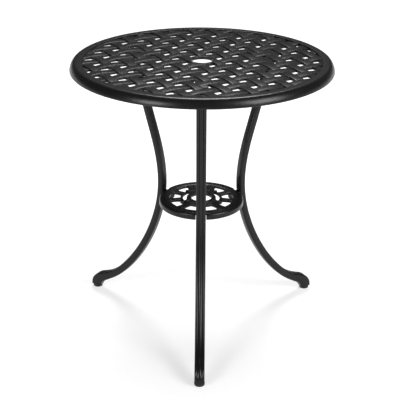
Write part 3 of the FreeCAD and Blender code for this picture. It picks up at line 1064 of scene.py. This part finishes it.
    def rings(self) -> list[Ring]:
        """Rings along the whole leg, from under the tab to the foot's underside.

        Returns:
            The rings in the leg's own frame.
        """
        outer, inner = SmoothLine(self.outside()), SmoothLine(self.inside())
        shared = len(self.stations()) - 1
        outer_more = len(outer.stations) - 1 - shared
        inner_more = len(inner.stations) - 1 - shared
        rings = []
        count = shared * self.steps_per_station
        places = [(step / self.steps_per_station, 0.0) for step in range(count)]
        places += [(float(shared), step / self.hoof_steps) for step in range(self.hoof_steps + 1)]
        for number, down in places:
            faded = min(max((down - self.reeds_end) / self.reeds_fade, 0.0), 1.0)
            rings.append(self.ring(outer.at(number + down * outer_more),
                                   inner.at(number + down * inner_more), 1.0 - faded))
        return rings

    def ring(self, front: Point, back: Point, reeded: float) -> Ring:
        """One ring between a point of the outer and one of the inner contour.

        Args:
            front: Point of the outer contour.
            back: Point of the inner contour.
            reeded: Share of the reeds' full depth.

        Returns:
            The ring in the leg's own frame.
        """
        half = math.dist(front, back) / 2
        middle = ((front[0] + back[0]) / 2, (front[1] + back[1]) / 2)
        out = ((front[0] - middle[0]) / half, (front[1] - middle[1]) / half)
        return [Vector((middle[0] + out[0] * away, across, middle[1] + out[1] * away))
                for across, away in self.section(half, reeded)]

    def build(self) -> bpy.types.Object:
        """Builds the leg as one object.

        Returns:
            The object.
        """
        casting = Casting()
        turn, seat = self.place.turn, self.seat
        casting.skin(self.rings(), turn)
        casting.block((self.tab_start, -self.tab_width / 2, self.tab_bottom),
                      (self.tab_start + self.tab_length, self.tab_width / 2,
                       self.tab_top - self.tab_gap), self.tab_edge, turn)
        casting.block((seat.radius, -seat.width / 2, seat.low),
                      (self.waist_radius + self.seat_overlap, seat.width / 2, seat.high),
                      self.seat_edge, turn)
        return casting.object(f"leg_casting_{self.place.label}")

    def dress(self, finishes: Finishes) -> list[bpy.types.Object]:
        """Hangs the leg on the frame and gives it its coat.

        Args:
            finishes: The table's finishes.

        Returns:
            The dressed piece.
        """
        piece = self.build()
        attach(piece, "table")
        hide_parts(f"leg_{self.place.label}")
        finishes.dress(piece, Slot.CASTING)
        return [piece]


@dataclass
class Shelf:
    """Round openwork shelf that ties the legs together at their waists.

    The soft step from the rim's flat to its top has points so far outwards and upwards, and
    the fillet under the rim so far inwards and downwards. A lug has rings so far from its near
    or its far end, each with its share of the outline.
    """

    top: float = 328.5
    radius: float = 102.0
    rim_width: float = 24.5
    rim_depth: float = 16.0
    rim_edge: float = 1.0
    nose: float = 6.5
    wall: float = 5.9
    lip_wall: float = 4.5
    rim_steps: int = 60
    step: float = 0.9
    step_width: float = 6.5
    step_points: tuple[Point, ...] = ((-0.5, 0.0), (0.0, 0.25), (0.4, 0.8), (0.9, 0.9))
    fillet_points: tuple[Point, ...] = ((0.0, 1.5), (0.5, 0.5), (1.5, 0.0))
    line_places: Point = (3.0, 5.4)
    line_width: float = 1.2
    line_depth: float = 0.5
    line_slope: float = 0.4
    hole: float = 24.8
    hub_wall: float = 10.8
    hub_rise: float = 1.2
    hub_lift: float = -0.05
    ring_radius: float = 44.6
    ring_width: float = 6.0
    ring_rise: float = 0.8
    ring_lift: float = 0.3
    ring_edge: float = 2.0
    ring_crown: float = 0.3
    bar_width: float = 15.5
    bar_edge: float = 1.9
    bar_crown: float = 0.4
    bar_lift: float = 0.05
    bar_rise: float = 0.4
    bar_lap: float = 2.5
    ring_flare: float = 4.0
    rim_flare: float = 7.0
    leg_flare: float = 15.0
    panel_width: float = 65.0
    panel_lap: float = 2.0
    panel_lift: float = 0.15
    panel_drop: float = 0.6
    panel_steps: int = 24
    cross_width: float = 8.5
    cross_inset: float = 0.1
    hub_flare: float = 26.0
    tip_radius: float = 56.5
    bays: int = 9
    cross_bays: tuple[int, ...] = (-3, -1, 1, 3)
    seat: Seat = Seat()
    notch_width: float = 26.0
    notch_lap: float = 0.6
    notch_steps: int = 10
    lug: float = 15.0
    lug_squareness: int = 12
    lug_steps: int = 48
    lug_near: tuple[Point, ...] = ((0.02, 0.94), (0.8, 1.0))
    lug_far: tuple[Point, ...] = ((1.2, 1.0), (0.3, 0.97), (0.0, 0.9))
    recess: tuple[Point, ...] = ((0.0, 1.06), (0.5, 1.0), (5.4, 1.0))
    recess_radius: float = 6.3

    @property
    def under(self) -> float:
        """Height of the underside of the rim's flat and of the bars."""
        return self.top - self.wall

    @property
    def flat(self) -> float:
        """Height of the flat along the rim's inside."""
        return self.top - self.step

    @property
    def inner(self) -> float:
        """Radius of the rim's inside."""
        return self.radius - self.rim_width

    def rim_bead(self) -> list[Point]:
        """Upper outline of the rim's inner part: the flat, a soft step and two fine lines.

        Returns:
            Its (radius, height) points, from the inside outwards.
        """
        inner, edge = self.inner, self.rim_edge
        step = inner + self.step_width
        bead = [(inner, self.under + FOOT_EDGE), (inner, self.flat - edge)]
        bead += arc((inner + edge, self.flat - edge), edge, 180, 90, steps=3)[1:]
        bead += [(step + out, self.flat + up) for out, up in self.step_points]
        low = self.top - self.line_depth
        for place in self.line_places:
            start = step + place
            end = start + self.line_width
            bead += [(start, self.top), (start + self.line_slope, low),
                     (end - self.line_slope, low), (end, self.top)]
        return bead

    def rim_profile(self, notched: bool = False) -> list[Point]:
        """Closed outline of the rim.

        Args:
            notched: Whether the outline is the narrow one behind a leg.

        Returns:
            The outline of (radius, height) points.
        """
        bead = self.rim_bead()
        foot = (self.inner + FOOT_EDGE, self.under)
        if notched:
            outer, edge = self.seat.radius, self.rim_edge
            return bead + [(outer - edge, self.top), (outer, self.top - edge),
                           (outer, self.under + FOOT_EDGE), (outer - FOOT_EDGE, self.under),
                           foot]
        centre = (self.radius - self.nose, self.top - self.nose)
        low = self.top - self.rim_depth
        lip = self.lip_wall / 2
        inside = self.radius - self.lip_wall
        return (bead + arc(centre, self.nose, 90, 0, steps=9)
                + arc((self.radius - lip, low + lip), lip, 0, -180, steps=6)
                + [(inside - inwards, self.under - down) for inwards, down in self.fillet_points]
                + [foot])

    def add_rim(self, casting: Casting) -> None:
        """Adds the rim: three long arcs, and a narrow bridge behind each leg.

        Args:
            casting: The casting that takes it.
        """
        half = math.degrees(math.asin(self.notch_width / 2 / self.radius))
        between = 360 / len(LegPlace)
        for place in LegPlace:
            casting.lathe(self.rim_profile(), self.rim_steps, place.value + half,
                          between - 2 * half)
            casting.lathe(self.rim_profile(notched=True), self.notch_steps,
                          place.value - half - self.notch_lap, 2 * half + 2 * self.notch_lap)

    def add_rounds(self, casting: Casting) -> None:
        """Adds the hub and the ring round it.

        Args:
            casting: The casting that takes them.
        """
        for inner, wall, rise, lift in (
                (self.hole, self.hub_wall, self.hub_rise, self.hub_lift),
                (self.ring_radius, self.ring_width, self.ring_rise, self.ring_lift)):
            casting.hoop(inner, wall, self.under + lift, self.top + rise - self.ring_crown,
                         self.ring_edge, self.ring_crown)

    def add_bars(self, casting: Casting) -> None:
        """Adds the bars from the ring to the rim, and those from the hub out over the ring.

        Args:
            casting: The casting that takes them.
        """
        start = LegPlace.FRONT.value
        bay = 360 / self.bays
        outline = rounded_box_section(self.bar_width / 2, self.under + self.bar_lift,
                                      self.flat + self.bar_rise, self.bar_edge, self.bar_crown)
        for index in range(self.bays):
            rim_flare = self.rim_flare if index % len(LegPlace) else self.leg_flare
            casting.bar(outline, self.ring_radius + self.ring_width / 2,
                        self.inner + self.bar_lap, turned(start + index * bay),
                        (self.ring_flare, rim_flare))
        raised = rounded_box_section(self.cross_width / 2, self.under + self.cross_inset,
                                     self.top - self.cross_inset, self.bar_edge, self.bar_crown)
        for bays in self.cross_bays:
            casting.bar(raised, self.hole + self.hub_wall / 2, self.tip_radius,
                        turned(start + 180 + bays * bay), (self.hub_flare, 0.0))

    def panel_rings(self) -> list[Ring]:
        """Rings across the closed bay's panel at the back, whose near edge follows the ring.

        Returns:
            The rings, from one side of the panel to the other.
        """
        near = self.ring_radius + self.ring_width / 2
        far = self.inner + self.panel_lap
        low, high = self.under + self.panel_lift, self.flat - self.panel_drop
        rings = []
        for step in range(self.panel_steps + 1):
            across = self.panel_width * (step / self.panel_steps - 0.5)
            start = math.sqrt(near ** 2 - across ** 2)
            end = math.sqrt(far ** 2 - across ** 2)
            rings.append([Vector((across, start, low)), Vector((across, end, low)),
                          Vector((across, end, high)), Vector((across, start, high))])
        return rings

    def lug_rings(self) -> list[Ring]:
        """Rings of a lug, from the leg's seat inwards and into the recess for the screw's head.

        Returns:
            The rings in a leg's own frame.
        """
        middle = (self.seat.low + self.seat.high) / 2
        half = (self.seat.width / 2, middle - self.seat.low)
        start = self.seat.radius - self.lug
        power = self.lug_squareness
        turns = [math.radians(360 * step / self.lug_steps) for step in range(self.lug_steps)]
        square = []
        for turn in turns:
            across, up = polar(1.0, turn)
            reach = (abs(across / half[0]) ** power + abs(up / half[1]) ** power) ** (-1 / power)
            square.append((across * reach, up * reach))
        circle = [polar(self.recess_radius, turn) for turn in turns]
        rows = [(self.seat.radius - inwards, square, share) for inwards, share in self.lug_near]
        rows += [(start + outwards, square, share) for outwards, share in self.lug_far]
        rows += [(start + outwards, circle, share) for outwards, share in self.recess]
        return [[Vector((along, across * share, middle + up * share)) for across, up in outline]
                for along, outline, share in rows]

    def build(self) -> bpy.types.Object:
        """Builds the shelf as one object.

        Returns:
            The object.
        """
        casting = Casting()
        self.add_rim(casting)
        self.add_rounds(casting)
        self.add_bars(casting)
        casting.skin(self.panel_rings())
        for place in LegPlace:
            casting.skin(self.lug_rings(), place.turn)
        return casting.object("shelf_casting")

    def dress(self, finishes: Finishes) -> list[bpy.types.Object]:
        """Hangs the shelf on the frame and gives it its coat.

        Args:
            finishes: The table's finishes.

        Returns:
            The dressed piece.
        """
        piece = self.build()
        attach(piece, "table")
        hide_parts("shelf")
        finishes.dress(piece, Slot.CASTING)
        return [piece]


@dataclass
class Hardware:
    """Screws, washers, sleeves and glides, which the frame already has in full."""

    frame: dict[str, Any]

    def dress(self, finishes: Finishes) -> list[bpy.types.Object]:
        """Gives every node that is still shown its finish.

        Args:
            finishes: The table's finishes.

        Returns:
            The dressed nodes.
        """
        slots = {row["node"]: Slot(row["material_slot"])
                 for row in self.frame["record"]["subparts"]}
        shown = {name: node for name, node in self.frame["nodes"].items()
                 if not node.hide_render}
        for name, node in shown.items():
            finishes.dress(node, slots[name])
        return list(shown.values())


# Studio


@dataclass(frozen=True)
class Softbox:
    """Square soft lamp, with its places and its side in metres and its power in watts."""

    name: str
    place: Triple
    aim: Triple
    side: float
    power: float

    def hang(self) -> None:
        """Adds the lamp to the scene."""
        data = bpy.data.lights.new(self.name, "AREA")
        data.size = self.side
        data.energy = self.power
        lamp = new_object(self.name, data)
        lamp.location = self.place
        aside = Vector(self.aim) - Vector(self.place)
        lamp.rotation_euler = aside.to_track_quat("-Z", "Y").to_euler()


@dataclass
class Studio:
    """White floor, soft lamps and the camera, with sizes in metres."""

    floor_reach: float = 30.0
    floor_colour: Triple = (0.80, 0.80, 0.80)
    floor_roughness: float = 0.9
    floor_shine: float = 0.1
    glow_range: Point = (0.2, 1.2)
    glow: Point = (0.545, 0.98)
    shadow_share: float = 0.46
    sky: Triple = (0.08, 0.08, 0.08)
    softboxes: tuple[Softbox, ...] = (
        Softbox("back_softbox", (0.1, 1.8, 2.95), (0.0, 0.0, 0.6), 1.15, 64.0),
        Softbox("left_softbox", (-1.85, -2.15, 1.45), (0.0, 0.0, 0.5), 1.05, 48.0),
        Softbox("right_softbox", (2.04, -1.60, 1.75), (0.0, 0.0, 0.5), 1.35, 72.0))
    camera_place: Triple = (-0.0030, -2.3976, 1.3600)
    camera_pitch: float = 66.56
    camera_roll: float = 0.36
    camera_turn: float = 0.3
    sensor: float = 36.0
    lens: float = 96.7

    def floor(self) -> None:
        """Adds the floor."""
        mesh = bmesh.new()
        bmesh.ops.create_circle(mesh, cap_ends=True, radius=self.floor_reach,
                                segments=ROUND_STEPS)
        data = bpy.data.meshes.new("studio_floor")
        mesh.to_mesh(data)
        mesh.free()
        piece = new_object("studio_floor", data)
        data.materials.append(self.floor_white())

    def floor_white(self) -> bpy.types.Material:
        """Builds the floor's white, which still takes the table's shadow.

        It glows more the further it is from the table, as the lamps' light falls off.

        Returns:
            The material, ready to assign.
        """
        white = NodeMaterial("studio_white")
        white.feed(white.shader, {"Base Color": (*self.floor_colour, 1.0),
                                  "Roughness": self.floor_roughness,
                                  "Specular IOR Level": self.floor_shine})
        away = white.add("VectorMath", {0: white.place}, operation="LENGTH").outputs["Value"]
        glow = white.add("Emission",
                         {"Strength": white.spread(away, self.glow_range, self.glow)})
        lit = white.add("BsdfDiffuse", {"Color": (*([self.shadow_share] * 3), 1.0)})
        both = white.add("AddShader", {0: lit.outputs[0], 1: glow.outputs[0]})
        path = white.add("LightPath").outputs
        seen = path["Is Camera Ray"]
        for ray in ("Is Glossy Ray", "Is Transmission Ray"):
            seen = white.add("Math", {0: seen, 1: path[ray]}, operation="MAXIMUM").outputs[0]
        mix = white.add("MixShader", {0: seen, 1: white.shader.outputs[0], 2: both.outputs[0]})
        white.feed(white.find("OUTPUT_MATERIAL"), {"Surface": mix.outputs[0]})
        return white.made

    def lights(self) -> None:
        """Adds the world's even light and the lamps."""
        world = bpy.data.worlds.new("studio_air")
        world.use_nodes = True
        air = next(node for node in world.node_tree.nodes if node.type == "BACKGROUND")
        air.inputs["Color"].default_value = (*self.sky, 1.0)
        air.inputs["Strength"].default_value = 1.0
        bpy.context.scene.world = world
        for softbox in self.softboxes:
            softbox.hang()

    def camera(self) -> None:
        """Adds the camera where the photograph was taken from."""
        data = bpy.data.cameras.new("photo_camera")
        data.sensor_width = self.sensor
        data.lens = self.lens
        camera = new_object("photo_camera", data)
        camera.matrix_world = (turned(self.camera_turn) @ Matrix.Translation(self.camera_place)
                               @ turned(self.camera_pitch, "X") @ turned(self.camera_roll))
        bpy.context.scene.camera = camera

    def build(self) -> None:
        """Sets up the whole studio."""
        self.floor()
        self.lights()
        self.camera()
        bpy.context.scene.view_settings.view_transform = "Standard"


def main() -> None:
    """Builds the table's looks and the studio round them, and reports each piece."""
    logging.basicConfig(level=logging.INFO, format="%(name)s: %(message)s")
    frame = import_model()
    finishes = Finishes()
    legs = [Leg(place) for place in LegPlace]
    for assembly in (Tabletop(), *legs, Shelf(), Hardware(frame)):
        for piece in assembly.dress(finishes):
            log.info("%s: %s, %d faces", piece.name, piece.active_material.name,
                     len(piece.data.polygons))
    Studio().build()


if __name__ == "__main__":
    main()
